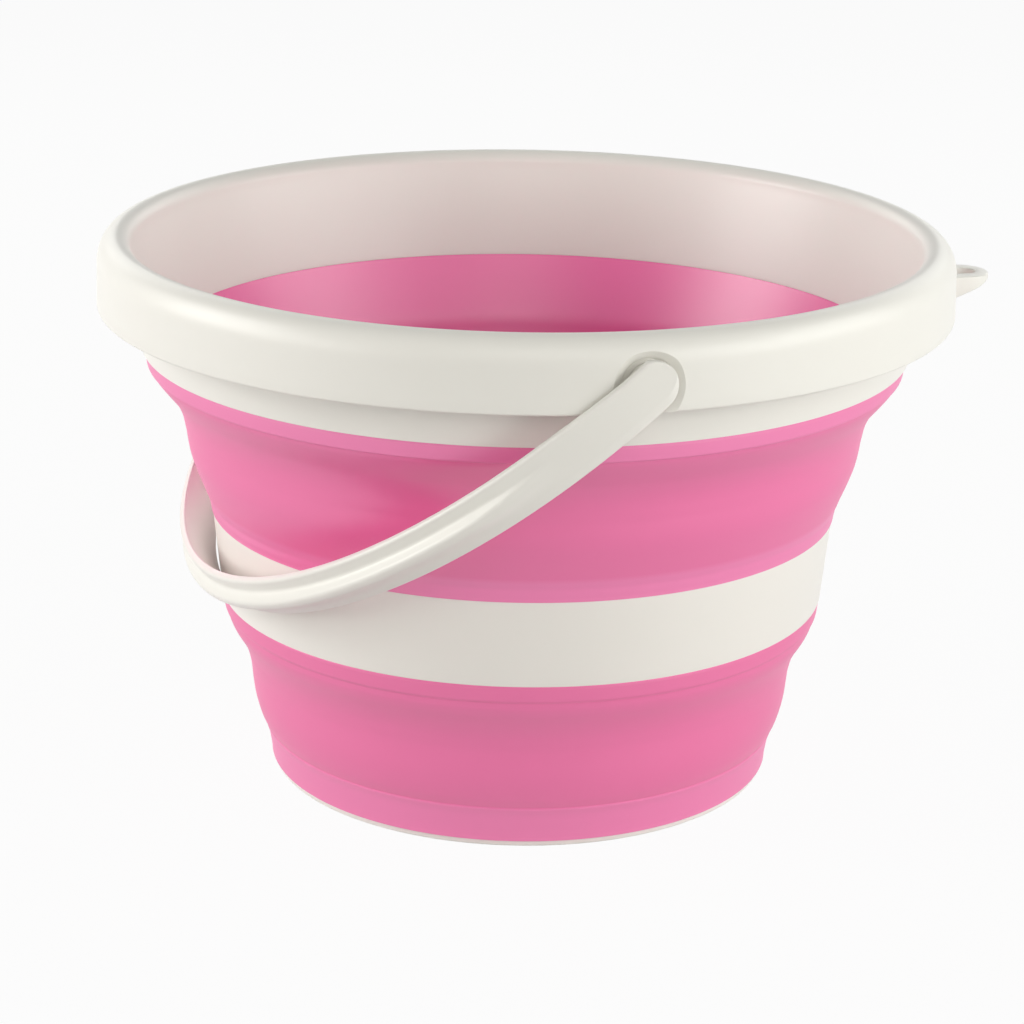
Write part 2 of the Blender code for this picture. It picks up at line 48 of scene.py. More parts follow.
roundSteps = 384                          # faces round a turned piece
plainSharpDeg, mouldSharpDeg, wallSharpDeg = 32, 30, 24  # edges that bend more than this are drawn sharp
mergeGap, slimEdge = 1e-6, 1e-7           # in metres: points closer than the first are one, shorter edges go
tinyLength = 1e-9                         # keeps a division by a length away from zero


# Shared shape tools. Outlines are arrays of (radius, height) in millimetres.

def ellipseArc(centre, reach, rise, startDeg, endDeg, steps):
    # centre + (reach cos a, rise sin a) for a from start to end
    a = np.radians(np.linspace(startDeg, endDeg, steps + 1))
    return np.stack([centre[0] + reach * np.cos(a), centre[1] + rise * np.sin(a)], axis=1)


def smoothThrough(points, spacing):
    # a Catmull-Rom curve: each span is the cubic whose end slopes are the chords of its neighbours
    p = np.array(points, float)
    ends = np.vstack([2 * p[0] - p[1], p, 2 * p[-1] - p[-2]])
    length = np.linalg.norm(np.diff(p, axis=0), axis=1)
    pieces = []
    for i, span in enumerate(length):
        count = max(2, int(round(span / spacing)))
        t = np.linspace(0, 1, count, endpoint=False)[:, None]
        a, b, c, d = ends[i:i + 4]
        scaleIn = span / max(np.linalg.norm(b - a), tinyLength)
        scaleOut = span / max(np.linalg.norm(d - c), tinyLength)
        slopeIn = (c - b + (b - a) * scaleIn) / 2
        slopeOut = (c - b + (d - c) * scaleOut) / 2
        pieces.append((2 * t ** 3 - 3 * t ** 2 + 1) * b + (t ** 3 - 2 * t ** 2 + t) * slopeIn
                      + (3 * t ** 2 - 2 * t ** 3) * c + (t ** 3 - t ** 2) * slopeOut)
    return np.vstack(pieces + [p[-1:]])


def roundedLine(corners, steps=4, closed=False):
    # corners are (radius, height, fillet): each corner is replaced with a quadratic bend as wide as its fillet
    p = np.array([c[:2] for c in corners], float)
    fillet = np.array([c[2] if len(c) > 2 else 0.0 for c in corners])
    before, after = np.roll(p, 1, axis=0), np.roll(p, -1, axis=0)
    toBefore = (before - p) / np.maximum(np.linalg.norm(before - p, axis=1), tinyLength)[:, None]
    toAfter = (after - p) / np.maximum(np.linalg.norm(after - p, axis=1), tinyLength)[:, None]
    line = []
    for i, corner in enumerate(p):
        atEnd = not closed and i in (0, len(p) - 1)
        if fillet[i] <= 0 or atEnd:
            line.append(corner[None])
            continue
        t = np.linspace(0, 1, steps + 1)[:, None]
        start, end = corner + toBefore[i] * fillet[i], corner + toAfter[i] * fillet[i]
        line.append((1 - t) ** 2 * start + 2 * t * (1 - t) * corner + t ** 2 * end)
    return np.vstack(line)


def insetLine(line, distance):
    # each point moves square to the line, to the left of its run
    step = np.gradient(line, axis=0)
    step /= np.linalg.norm(step, axis=1)[:, None]
    return line + distance * np.stack([step[:, 1], -step[:, 0]], axis=1)


def resample(line, spacing):
    # splits long straight runs, so that shading and bending have rows to work with
    steps = np.linalg.norm(np.diff(line, axis=0), axis=1)
    parts = []
    for i, span in enumerate(steps):
        count = max(1, int(math.ceil(span / spacing)))
        t = np.linspace(0, 1, count, endpoint=False)[:, None]
        parts.append(line[i] + t * (line[i + 1] - line[i]))
    return np.vstack(parts + [line[-1:]])


def gridFaces(rows, columns, wrapRows, wrapColumns):
    # quads between neighbouring rows and columns of a grid stored row by row
    i = np.arange(rows if wrapRows else rows - 1)
    j = np.arange(columns if wrapColumns else columns - 1)
    i, j = np.meshgrid(i, j, indexing="ij")
    i2, j2 = (i + 1) % rows, (j + 1) % columns
    quads = np.stack([i * columns + j, i * columns + j2, i2 * columns + j2, i2 * columns + j], axis=-1)
    return quads.reshape(-1, 4)


def makeMesh(name, points, faces, sharpDeg=plainSharpDeg):
    # merges doubles, points the faces outwards and shades smooth up to the given edge angle
    mesh = bpy.data.meshes.new(name)
    mesh.from_pydata((points * mm).tolist(), [], [list(face) for face in faces])
    tidyMesh(mesh, sharpDeg)
    piece = bpy.data.objects.new(name, mesh)
    bpy.context.scene.collection.objects.link(piece)
    return piece


def tidyMesh(mesh, sharpDeg):
    work = bmesh.new()
    work.from_mesh(mesh)
    bmesh.ops.remove_doubles(work, verts=work.verts, dist=mergeGap)
    bmesh.ops.dissolve_degenerate(work, edges=work.edges, dist=slimEdge)
    bmesh.ops.recalc_face_normals(work, faces=work.faces)
    work.to_mesh(mesh)
    work.free()
    mesh.shade_smooth()
    mesh.set_sharp_from_angle(angle=math.radians(sharpDeg))


def turnedPiece(name, outline, sharpDeg=plainSharpDeg):
    # (r cos a, r sin a, z) for every outline point (r, z) and every angle a round the axis
    a = np.linspace(0, math.tau, roundSteps, endpoint=False)
    r, z = outline[:, :1], outline[:, 1:]
    points = np.stack([r * np.cos(a), r * np.sin(a), z + 0 * a], axis=-1).reshape(-1, 3)
    return makeMesh(name, points, gridFaces(len(outline), roundSteps, True, True), sharpDeg)


def boxPiece(name, lowCorner, highCorner):
    # the eight corners of a box
    low, high = np.array(lowCorner, float), np.array(highCorner, float)
    pick = np.array([[x, y, z] for x in (0, 1) for y in (0, 1) for z in (0, 1)], float)
    faces = np.array([[0, 1, 3, 2], [4, 6, 7, 5], [0, 4, 5, 1], [2, 3, 7, 6], [0, 2, 6, 4], [1, 5, 7, 3]])
    return makeMesh(name, low + pick * (high - low), faces)


def coneAlongY(name, stations, height, segments=96):
    # a turned shape about the line x = 0, z = height: stations are (radius, y), with closed ends
    a = np.linspace(0, math.tau, segments, endpoint=False)
    line = np.array([(0, stations[0][1])] + list(stations) + [(0, stations[-1][1])], float)
    r, y = line[:, :1], line[:, 1:]
    points = np.stack([r * np.cos(a), y + 0 * a, height + r * np.sin(a)], axis=-1).reshape(-1, 3)
    return makeMesh(name, points, gridFaces(len(line), segments, False, True))


def booleanCut(piece, cutter):
    # takes the cutter out of the piece with one exact Boolean, and removes it
    cut = piece.modifiers.new("cut", "BOOLEAN")
    cut.solver = "EXACT"
    cut.operation = "DIFFERENCE"
    cut.object = cutter
    graph = bpy.context.evaluated_depsgraph_get()
    graph.update()
    mesh = bpy.data.meshes.new_from_object(piece.evaluated_get(graph))
    piece.modifiers.clear()
    old = piece.data
    piece.data = mesh
    bpy.data.meshes.remove(old)
    bpy.data.objects.remove(cutter)


def joinPieces(name, parts, sharpDeg):
    # gathers the parts' meshes in one piece; each stays a closed shell of its own
    work = bmesh.new()
    for part in parts:
        work.from_mesh(part.data)
        bpy.data.objects.remove(part)
    mesh = bpy.data.meshes.new(name)
    work.to_mesh(mesh)
    work.free()
    mesh.shade_smooth()
    mesh.set_sharp_from_angle(angle=math.radians(sharpDeg))
    piece = bpy.data.objects.new(name, mesh)
    bpy.context.scene.collection.objects.link(piece)
    return piece


# Shader maths: a wrapper round a node's output, so that + - * make Math nodes

class Socket:
    def __init__(self, tree, link):
        self.tree = tree
        self.link = link

    def node(self, kind, settings=None, values=None, output=0):
        made = self.tree.nodes.new(kind)
        for key, value in (settings or {}).items():
            setattr(made, key, value)
        for key, value in (values or {}).items():
            if isinstance(value, Socket):
                self.tree.links.new(value.link, made.inputs[key])
            else:
                made.inputs[key].default_value = value
        return Socket(self.tree, made.outputs[output])

    def maths(self, operation, a, b):
        return self.node("ShaderNodeMath", {"operation": operation}, {0: a, 1: b})

    def __add__(self, other):
        return self.maths("ADD", self, other)

    def __radd__(self, other):
        return self.maths("ADD", other, self)

    def __sub__(self, other):
        return self.maths("SUBTRACT", self, other)

    def __rsub__(self, other):
        return self.maths("SUBTRACT", other, self)

    def __mul__(self, other):
        return self.maths("MULTIPLY", self, other)

    def __rmul__(self, other):
        return self.maths("MULTIPLY", other, self)


def newMaterial(name):
    # returns the material, its shader node and a socket wrapper to build with
    material = bpy.data.materials.new(name)
    material.use_nodes = True
    tree = material.node_tree
    shader = tree.nodes["Principled BSDF"]
    return material, shader, Socket(tree, None)


def mixColours(maker, factor, first, second):
    return maker.node("ShaderNodeMix", {"data_type": "RGBA"}, {0: factor, 6: first, 7: second}, output=2)


# Materials

whiteFinish = {
    "colour": (0.88, 0.87, 0.825, 1),     # warm white moulded plastic
    "shade": (0.86, 0.845, 0.795, 1),     # slightly yellower clouds in it
    "specular": 0.5, "ior": 1.5,
    "roughness": 0.36,
    "roughnessSpread": 0.06,
    "grain": 0.10,                        # strength of the fine mould texture
    "cloudScale": 9.0, "grainScale": 900.0,
}
pinkFinish = {
    "colour": (0.82, 0.105, 0.340, 1),
    "shade": (0.80, 0.095, 0.320, 1),
    "paintedLightBandColour": (0.84, 0.150, 0.400, 1),  # painted light: the collars and the foot band are painted paler, as where they catch more light
    "paintedShadeInsideColour": (0.80, 0.035, 0.300, 1),  # painted shade: faces towards the axis are painted deeper, as where the inside gets less light
    # painted light: each paler band's lowest and highest height and the softness of its ends, in metres
    "paintedLightBands": ((0.0020, 0.0161, 0.0002), (0.1010, 0.1114, 0.0010), (0.1604, 0.1670, 0.0002)),
    "specular": 1.0, "ior": 1.72,
    "roughness": 0.44,
    "roughnessSpread": 0.05,
    "grain": 0.16,
    "cloudScale": 11.0, "grainScale": 1400.0,
}
grainDepth = 0.0001                       # of the bump, in metres


def paintedLightAndShadeColours(maker, place, colour, finish):
    # painted light and shade: paler in the bands of heights, as where light falls; faces that look towards the axis
    # take the deeper inside colour as painted shade
    height = maker.node("ShaderNodeSeparateXYZ", {}, {0: place}, output=2)
    paintedLightShare = None
    for low, high, soft in finish["paintedLightBands"]:
        rise = maker.node("ShaderNodeMapRange", {}, {0: height, 1: low - soft, 2: low + soft})
        fall = maker.node("ShaderNodeMapRange", {}, {0: height, 1: high - soft, 2: high + soft})
        band = rise - fall
        paintedLightShare = band if paintedLightShare is None else paintedLightShare + band
    # painted shade: faces that look towards the axis get the deeper inside colour
    level = maker.node("ShaderNodeVectorMath", {"operation": "MULTIPLY"}, {0: place, 1: (1, 1, 0)})
    normal = maker.node("ShaderNodeTexCoord", output=1)
    facing = maker.node("ShaderNodeVectorMath", {"operation": "DOT_PRODUCT"}, {0: level, 1: normal}, output=1)
    outward = maker.maths("GREATER_THAN", facing, 0.0)
    # painted light: the bands mix in the paler colour
    outside = mixColours(maker, paintedLightShare, colour, finish["paintedLightBandColour"])
    return mixColours(maker, outward, finish["paintedShadeInsideColour"], outside)


def mouldedMaterial(name, finish):
    # two close shades in soft clouds, and a fine grain for bump and gloss
    material, shader, maker = newMaterial(name)
    place = maker.node("ShaderNodeTexCoord", output=3)
    clouds = maker.node("ShaderNodeTexNoise", {}, {"Vector": place, "Scale": finish["cloudScale"], "Detail": 2.0})
    grain = maker.node("ShaderNodeTexNoise", {}, {"Vector": place, "Scale": finish["grainScale"], "Detail": 3.0})
    colour = mixColours(maker, clouds, finish["colour"], finish["shade"])
    # the pink walls also get painted light in paler bands and painted shade on the inside
    if "paintedLightBands" in finish:
        colour = paintedLightAndShadeColours(maker, place, colour, finish)
    spread = finish["roughnessSpread"]
    rough = finish["roughness"] + (grain - 0.5) * spread + (clouds - 0.5) * spread
    bump = maker.node("ShaderNodeBump", {}, {"Strength": finish["grain"], "Distance": grainDepth, "Height": grain})
    shader.inputs["Specular IOR Level"].default_value = finish["specular"]
    shader.inputs["IOR"].default_value = finish["ior"]
    maker.tree.links.new(colour.link, shader.inputs["Base Color"])
    maker.tree.links.new(rough.link, shader.inputs["Roughness"])
    maker.tree.links.new(bump.link, shader.inputs["Normal"])
    return material


whitePlastic = mouldedMaterial("whitePlastic", whiteFinish)
pinkRubber = mouldedMaterial("pinkRubber", pinkFinish)
print("materials made")


# Rim: a lip over a channel, a skirt outside, a tapering wall inside and a band below it

rimShape = {
    "crest": (153.0, 208.6),              # radius and height of the lip's top
    "lipRise": 10.0,
    "skirtTop": 160.1, "skirtFoot": 160.5, "skirtBottom": 182.4, "skirtWall": 2.0,
    "bandTop": (146.6, 182.4), "bandFoot": (144.4, 166.8), "bandFillet": 1.5,
    "bore": 138.2, "mouth": 147.4, "mouthDrop": 5.2,
    "wall": 3.2, "lipWall": 3.4,
    "tongue": (140.2, 141.4, 162.3),      # inner and outer radius and lowest height
    "edge": 0.2, "rowSpacing": 2.4,
    "webs": 16, "webWall": 1.6, "webFoot": 186.4,
    "sink": 0.6,                          # how far webs and blocks reach into the walls round them
}
arcSteps = {"lip": 18, "skirtEdge": 10, "roof": 8, "mouth": 12}
pivotShape = {
    "height": 192.0, "recess": 12.8, "pocket": 9.0, "pocketWall": 157.8, "floor": 156.6, "hole": 3.9,
    "blockBack": 154.2, "blockHalf": 14.0, "blockLift": 0.5,
    "cutBefore": 2.0, "cutBeyond": 3.0,   # how far the cutter starts behind the block and ends outside the skirt
}


def channelSection(grow):
    # the channel between skirt and inner wall: half ellipse roof, outer face and inner face
    s = rimShape
    crestR, crestZ = s["crest"]
    centre = (crestR, crestZ - s["lipRise"])
    rise = s["lipRise"] - s["lipWall"] + grow
    share = (centre[1] - s["bandFoot"][1]) / (crestZ - s["mouthDrop"] - s["bandFoot"][1])
    innerFace = s["bore"] + share * (s["mouth"] - s["bore"]) + s["wall"] - grow
    outerFace = s["skirtTop"] - s["skirtWall"] + grow
    steps = arcSteps["roof"]
    return np.vstack([ellipseArc(centre, outerFace - crestR, rise, 0, 90, steps),
                      ellipseArc(centre, crestR - innerFace, rise, 90, 180, steps)[1:]])


def rimOutline():
    # lip, skirt's edge, channel, band with its tongue, inner face and the lip's inner curve
    s = rimShape
    crestR, crestZ = s["crest"]
    mouthZ = crestZ - s["mouthDrop"]
    lipOuter = ellipseArc((crestR, crestZ - s["lipRise"]), s["skirtTop"] - crestR, s["lipRise"], 90, 0,
                          arcSteps["lip"])
    edge = s["skirtWall"] / 2
    skirtEdge = ellipseArc((s["skirtFoot"] - edge, s["skirtBottom"] + edge), edge, edge, 0, -180,
                           arcSteps["skirtEdge"])
    bandFoot, e = s["bandFoot"], s["edge"]
    inner, outer, low = s["tongue"]
    foot = roundedLine([(*s["bandTop"], s["bandFillet"]), (*bandFoot, e), (outer, bandFoot[1], 0), (outer, low, 0),
                        (inner, low, 0), (inner, bandFoot[1], 0), (s["bore"], bandFoot[1], e),
                        (s["mouth"], mouthZ, 0)])
    lipInner = ellipseArc((crestR, mouthZ), crestR - s["mouth"], s["mouthDrop"], 180, 90, arcSteps["mouth"])[1:-1]
    line = np.vstack([lipOuter, skirtEdge, channelSection(0), foot, lipInner])
    return resample(line, s["rowSpacing"])


def channelPlate(name, foot, halfWidth, turnDeg, back=None):
    # a plate across the channel, cut to its section: two copies of the outline joined by a rim of faces
    section = channelSection(rimShape["sink"])
    if back is not None:
        # the flat back of the plate lies at this distance from the axis
        section[:, 0] = np.maximum(section[:, 0], math.hypot(back, halfWidth))
    outline = np.vstack([section, [(section[-1, 0], foot), (section[0, 0], foot)]])
    count = len(outline)
    t = math.radians(turnDeg)
    sides = []
    for y in (-halfWidth, halfWidth):
        reach = np.sqrt(np.maximum(outline[:, 0] ** 2 - y * y, 0))
        sides.append(np.stack([reach * math.cos(t) - y * math.sin(t),
                               reach * math.sin(t) + y * math.cos(t), outline[:, 1]], axis=1))
    middle = [side.mean(axis=0, keepdims=True) for side in sides]
    points = np.vstack(sides + middle)
    i = np.arange(count)
    k = (i + 1) % count
    caps = [(int(a), int(b), 2 * count) for a, b in zip(i, k)]
    caps += [(int(b) + count, int(a) + count, 2 * count + 1) for a, b in zip(i, k)]
    walls = [(int(a), int(a) + count, int(b) + count, int(b)) for a, b in zip(i, k)]
    return makeMesh(name, points, caps + walls)


def makeRim():
    s, p = rimShape, pivotShape
    shell = turnedPiece("rimShell", rimOutline())
    webs = []
    for index in range(s["webs"]):
        turn = (index + 0.5) * 360 / s["webs"]
        webs.append(channelPlate(f"web{index}", s["webFoot"], s["webWall"] / 2, turn))
    blockFoot = s["skirtBottom"] + p["blockLift"]
    blocks = [channelPlate(f"block{side}", blockFoot, p["blockHalf"], side * 90, p["blockBack"])
              for side in (-1, 1)]
    for side in (-1, 1):
        # a cone from the pocket's wall to the skirt's face, carried on past it at the same slope
        slope = (p["recess"] - p["pocket"]) / (s["skirtTop"] - p["pocketWall"])
        outside = s["skirtFoot"] + p["cutBeyond"]
        stations = [(p["hole"], side * (p["blockBack"] - p["cutBefore"])), (p["hole"], side * p["floor"]),
                    (p["pocket"], side * p["floor"]), (p["pocket"], side * p["pocketWall"]),
                    (p["pocket"] + slope * (outside - p["pocketWall"]), side * outside)]
        for target in (shell, blocks[(side + 1) // 2]):
            booleanCut(target, coneAlongY("pivotCutter", stations, p["height"]))
    return joinPieces("rimMoulding", [shell] + webs + blocks + [makeTab()], mouldSharpDeg)


# Hang tab: a plate with a slot, side walls below it and a sloping underside

tabShape = {
    "root": 146.8, "tip": 186.5, "halfWidth": 10.7, "top": 185.0,
    "tipDepth": 2.0, "slope": 0.375, "plate": 2.6, "wall": 2.2,
    "slotStart": 165.5, "slotEnd": 181.5, "slotHalf": 4.5,
    "edge": 0.7, "slotEdge": 0.4, "footEdge": 0.3,
    "plateShare": 0.85,                   # the plate's most at the tip, where the tab is thinner than it
    "counts": (14, 40, 16),               # points along a side, round the tip and along the start
    "bendRows": 5,
}


def stadiumRound(start, end, half, counts, squareStart):
    # points round a slot shape: side, tip arc, other side, then its start as an arc or a straight run
    tipCentre = end - half
    startCentre = start if squareStart else start + half
    side, tip, back = counts
    t = np.linspace(0, 1, side, endpoint=False)
    arc = np.radians(np.linspace(90, -90, tip, endpoint=False))
    first = np.stack([startCentre + t * (tipCentre - startCentre), half + 0 * t], axis=1)
    round1 = np.stack([tipCentre + half * np.cos(arc), half * np.sin(arc)], axis=1)
    second = np.stack([tipCentre + t * (startCentre - tipCentre), -half + 0 * t], axis=1)
    b = np.linspace(0, 1, back, endpoint=False)
    if squareStart:
        last = np.stack([startCentre + 0 * b, -half + 2 * half * b], axis=1)
    else:
        a = np.radians(-90 - 180 * b)
        last = np.stack([startCentre + half * np.cos(a), half * np.sin(a)], axis=1)
    return np.vstack([first, round1, second, last])


def makeTab():
    # a section from slot to outer edge and back, carried round the slot; heights follow the distance from the tip
    s = tabShape
    outer = stadiumRound(s["root"], s["tip"], s["halfWidth"], s["counts"], True)
    slot = stadiumRound(s["slotStart"], s["slotEnd"], s["slotHalf"], s["counts"], False)
    rings = []

    def ring(share, inset, height):
        # share 0 is the slot's edge and 1 the outer edge; inset moves it back along that line
        line = outer - slot
        length = np.linalg.norm(line, axis=1)[:, None]
        place = slot + line * share + line / length * inset
        rings.append(np.hstack([place, height(place[:, :1])]))

    def depth(x):
        return s["tipDepth"] + s["slope"] * np.maximum(s["tip"] - x, 0)

    def top(drop):
        return lambda x: s["top"] - drop + 0 * x

    def foot(lift):
        return lambda x: s["top"] - depth(x) + lift

    def underPlate(x):
        return s["top"] - np.minimum(s["plate"], depth(x) * s["plateShare"])

    bend = np.radians(np.linspace(0, 90, s["bendRows"]))
    # round the slot's top edge, across to the outer top edge, down, under the side wall and back
    for a in bend:
        ring(0, s["slotEdge"] * (1 - math.cos(a)), top(s["slotEdge"] * (1 - math.sin(a))))
    for a in bend[::-1]:
        ring(1, -s["edge"] * (1 - math.cos(a)), top(s["edge"] * (1 - math.sin(a))))
    ring(1, 0, foot(s["footEdge"]))
    ring(1, -s["footEdge"], foot(0))
    ring(1, -s["wall"] + s["footEdge"], foot(0))
    ring(1, -s["wall"], foot(s["footEdge"]))
    ring(1, -s["wall"], underPlate)
    ring(0, 0, underPlate)
    grid = np.stack(rings)
    return makeMesh("tab", grid.reshape(-1, 3), gridFaces(len(rings), len(outer), True, True))


rimPiece = makeRim()
print("rim made")


# Folding walls: collar, bevel, crease, bulging panel and lower collar. Points are (radius, height).

upperShape = {
    "outer": [(143.3, 165.6), (143.0, 163.6), (142.6, 161.3), (142.4, 160.7),
              (141.7, 160.2), (141.1, 159.0), (138.2, 155.1),
              (135.7, 152.1), (133.4, 149.1), (131.7, 146.1), (130.4, 143.1), (129.5, 140.1),
              (128.9, 137.1), (128.3, 134.1), (127.9, 131.1), (127.4, 128.1), (126.7, 125.1),
              (125.7, 122.1), (124.6, 119.1), (123.4, 116.1), (122.2, 113.1), (121.3, 110.6)],
    "collar": [(120.6, 109.0), (120.2, 108.0), (119.9, 106.0), (119.4, 103.8)],
    "top": 166.77, "bottom": 102.93, "bore": 138.2, "footBore": 115.4,
    "wall": 2.3, "edge": 0.2, "ledge": (0.5, 0.6),
}
lowerShape = {
    "outer": [(115.4, 68.8), (115.1, 66.5), (114.8, 64.3), (114.5, 63.6), (113.9, 63.0), (113.4, 60.6), (112.0, 57.4),
              (109.6, 53.5), (107.8, 50.0), (106.6, 47.0), (105.8, 44.0), (105.1, 41.0),
              (104.7, 38.0), (104.4, 35.0), (104.1, 32.0), (103.7, 29.0), (103.1, 26.0),
              (102.3, 23.0), (101.3, 20.0), (100.1, 17.6), (99.5, 16.5), (99.55, 15.9),
              (99.35, 15.1)],
    "collar": [(98.8, 13.9), (98.5, 12.9), (98.0, 10.0), (97.4, 6.5), (97.0, 3.6)],
    "top": 69.97, "bottom": 2.33, "bore": 112.4, "footBore": 94.4,
    "wall": 2.3, "edge": 0.2, "ledge": (0.7, 0.5),
    "seat": (92.2, 10.6),                 # radius and height of the step that rests on the base's upright edge
}
wallSpacing, insideSpacing = 0.8, 1.0     # between rows of points, outside and on the straight inside


def wallOutline(s, footLedge):
    # outside from the top down to the foot, then the inside back up
    outer = smoothThrough(s["outer"], wallSpacing)
    collar = smoothThrough(s["collar"], wallSpacing)
    topEdge = roundedLine([(s["bore"], s["top"], 0), (outer[0][0], s["top"], s["edge"]), (*outer[0], 0)])
    footEdge = roundedLine([(*collar[-1], 0), (collar[-1][0], s["bottom"], s["edge"]),
                            (s["footBore"], s["bottom"], 0)])
    inner = insetLine(outer, s["wall"])
    inner = inner[inner[:, 0] < s["bore"]][::-1]
    # the inside runs straight down from the bore's top to where it touches the panel's inner line
    lean = (s["bore"] - inner[:, 0]) / (s["top"] - inner[:, 1])
    inner = inner[:int(np.argmax(lean)) + 1]
    slope = resample(np.array([inner[-1], (s["bore"], s["top"])]), insideSpacing)[1:-1]
    return np.vstack([topEdge, outer[1:], collar, footEdge[1:], footLedge, inner, slope])


def makeUpperWall():
    s = upperShape
    out, drop = s["ledge"]
    collarTop = s["collar"][0][1]
    ledge = np.array([(s["footBore"], collarTop - drop), (s["footBore"] + out, collarTop)])
    return turnedPiece("upperFoldingWall", wallOutline(s, ledge), sharpDeg=wallSharpDeg)


def makeLowerWall():
    s = lowerShape
    out, drop = s["ledge"]
    seatRadius, seatHeight = s["seat"]
    collarTop = s["collar"][0][1]
    ledge = np.array([(s["footBore"], seatHeight), (seatRadius, seatHeight), (seatRadius, collarTop - drop),
                      (seatRadius + out, collarTop)])
    return turnedPiece("lowerFoldingWall", wallOutline(s, ledge), sharpDeg=wallSharpDeg)


upperPiece = makeUpperWall()
lowerPiece = makeLowerWall()
print("folding walls made")


# Middle ring and base

ringShape = {
    "top": 102.9, "foot": 70.0, "topRadius": 118.9, "footRadius": 115.7, "wall": 3.3, "edge": 0.25,
    "tongue": 0.6, "tongueRise": 4.5, "rowSpacing": 3.0,
}
baseShape = {
    "radius": 96.1, "foot": 0.0, "lip": 2.3, "upstand": (94.0, 92.2, 10.3), "floor": 4.6,
    "fillet": 2.4, "edge": 0.8, "fineEdge": 0.3,
    "panel": (80.6, 16.0, 1.4),           # outer and inner radius and depth of the pockets
    "panelWall": 0.4, "panelRows": 46, "hub": 8.0,
    "ribs": 8, "ribWall": 2.4, "ribRun": 0.5, "segments": 480,
}


def makeMiddleRing():
    s = ringShape
    topBore, footBore = s["topRadius"] - s["wall"], s["footRadius"] - s["wall"]
    topMid, footMid = s["topRadius"] - s["wall"] / 2, s["footRadius"] - s["wall"] / 2
    t, rise, e = s["tongue"], s["tongueRise"], s["edge"]
    line = roundedLine([
        (topMid + t, s["top"] + rise, 0), (topMid + t, s["top"], 0), (s["topRadius"], s["top"], e),
        (s["footRadius"], s["foot"], e), (footMid + t, s["foot"], 0), (footMid + t, s["foot"] - rise, 0),
        (footMid - t, s["foot"] - rise, 0), (footMid - t, s["foot"], 0), (footBore, s["foot"], e),
        (topBore, s["top"], e), (topMid - t, s["top"], 0), (topMid - t, s["top"] + rise, 0)], closed=True)
    return turnedPiece("middleRing", resample(line, s["rowSpacing"]))


def makeBase():
    # dish with an upright edge; the underside's pockets are pressed up between ribs
    s = baseShape
    outerUp, innerUp, top = s["upstand"]
    panelOuter, panelInner, panelDepth = s["panel"]
    fine = s["fineEdge"]
    inside = roundedLine([(0, s["floor"], 0), (innerUp, s["floor"], s["fillet"]), (innerUp, top, fine),
                          (outerUp, top, fine), (outerUp, s["lip"], 0), (s["radius"], s["lip"], fine),
                          (s["radius"], s["foot"], s["edge"]), (panelOuter + s["panelWall"], s["foot"], 0)])
    underRadii = np.concatenate([[panelOuter + s["panelWall"]], np.linspace(panelOuter, panelInner, s["panelRows"]),
                                 [panelInner - s["panelWall"]], [s["hub"], 0]])
    under = np.stack([underRadii, 0 * underRadii], axis=1)
    line = np.vstack([inside[:-1], under])
    a = np.linspace(0, math.tau, s["segments"], endpoint=False)
    r, z = line[:, :1], line[:, 1:]
    # a pocket's depth wherever the nearest rib is further away than half its width
    pitch = math.tau / s["ribs"]
    off = np.abs((a + pitch / 2) % pitch - pitch / 2)
    distance = np.abs(r) * np.sin(np.minimum(off, math.pi / 2))
    lift = np.clip((distance - s["ribWall"] / 2) / s["ribRun"], 0, 1) * panelDepth
    within = (np.arange(len(line)) >= len(inside)) & (line[:, 0] <= panelOuter) & (line[:, 0] >= panelInner)
    height = z + lift * within[:, None]
    points = np.stack([r * np.cos(a), r * np.sin(a), height], axis=-1).reshape(-1, 3)
    return makeMesh("baseDish", points, gridFaces(len(line), s["segments"], False, True))


ringPiece = makeMiddleRing()
basePiece = makeBase()
print("middle ring and base made")


# Bail: a T-shaped strap carried round a half circle, with round ends and snap-in pegs

bailShape = {
    "inner": 161.0, "strap": 3.0, "halfWidth": 9.2, "lowerWidth": 9.6, "arcOffset": 1.2,
    "ribHeight": 4.35, "ribUpper": (4.0, 2.5), "ribLower": (-4.6, -0.7), "ribRootLift": 0.2,
    "ribStart": 38.0, "ribFull": 78.0,    # where along the strap the rib starts and is full
    "lowerSlope": (2.1, 8.7),             # outward and sideways where the lower slope ends
    "fillets": (0.5, 0.8, 1.5, 1.2, 1.3, 1.4, 2.4, 0.9),  # in the order of the section's corners
    "tiltDeg": 40.77,
    "endUpper": 0.86, "endRun": 40.0,     # the upper half narrows to this share over this run to the pivot
    "rows": 260, "capRows": 15, "bendSteps": 7,
    "tipShareSquared": 1e-8,              # the strap's very end keeps a ten-thousandth of its width
}
pegShape = {
    "boss": 7.0, "bossEnd": 156.9, "bossEdge": 0.4, "bossSink": 1.0, "bossSteps": 72,
    "peg": 3.6, "catch": (4.7, 153.9), "tip": (2.5, 151.3), "pegSteps": 48,
    "slit": 1.6, "slitBefore": 2.0, "slitShort": 0.8, "slitHalf": 8.0,
}


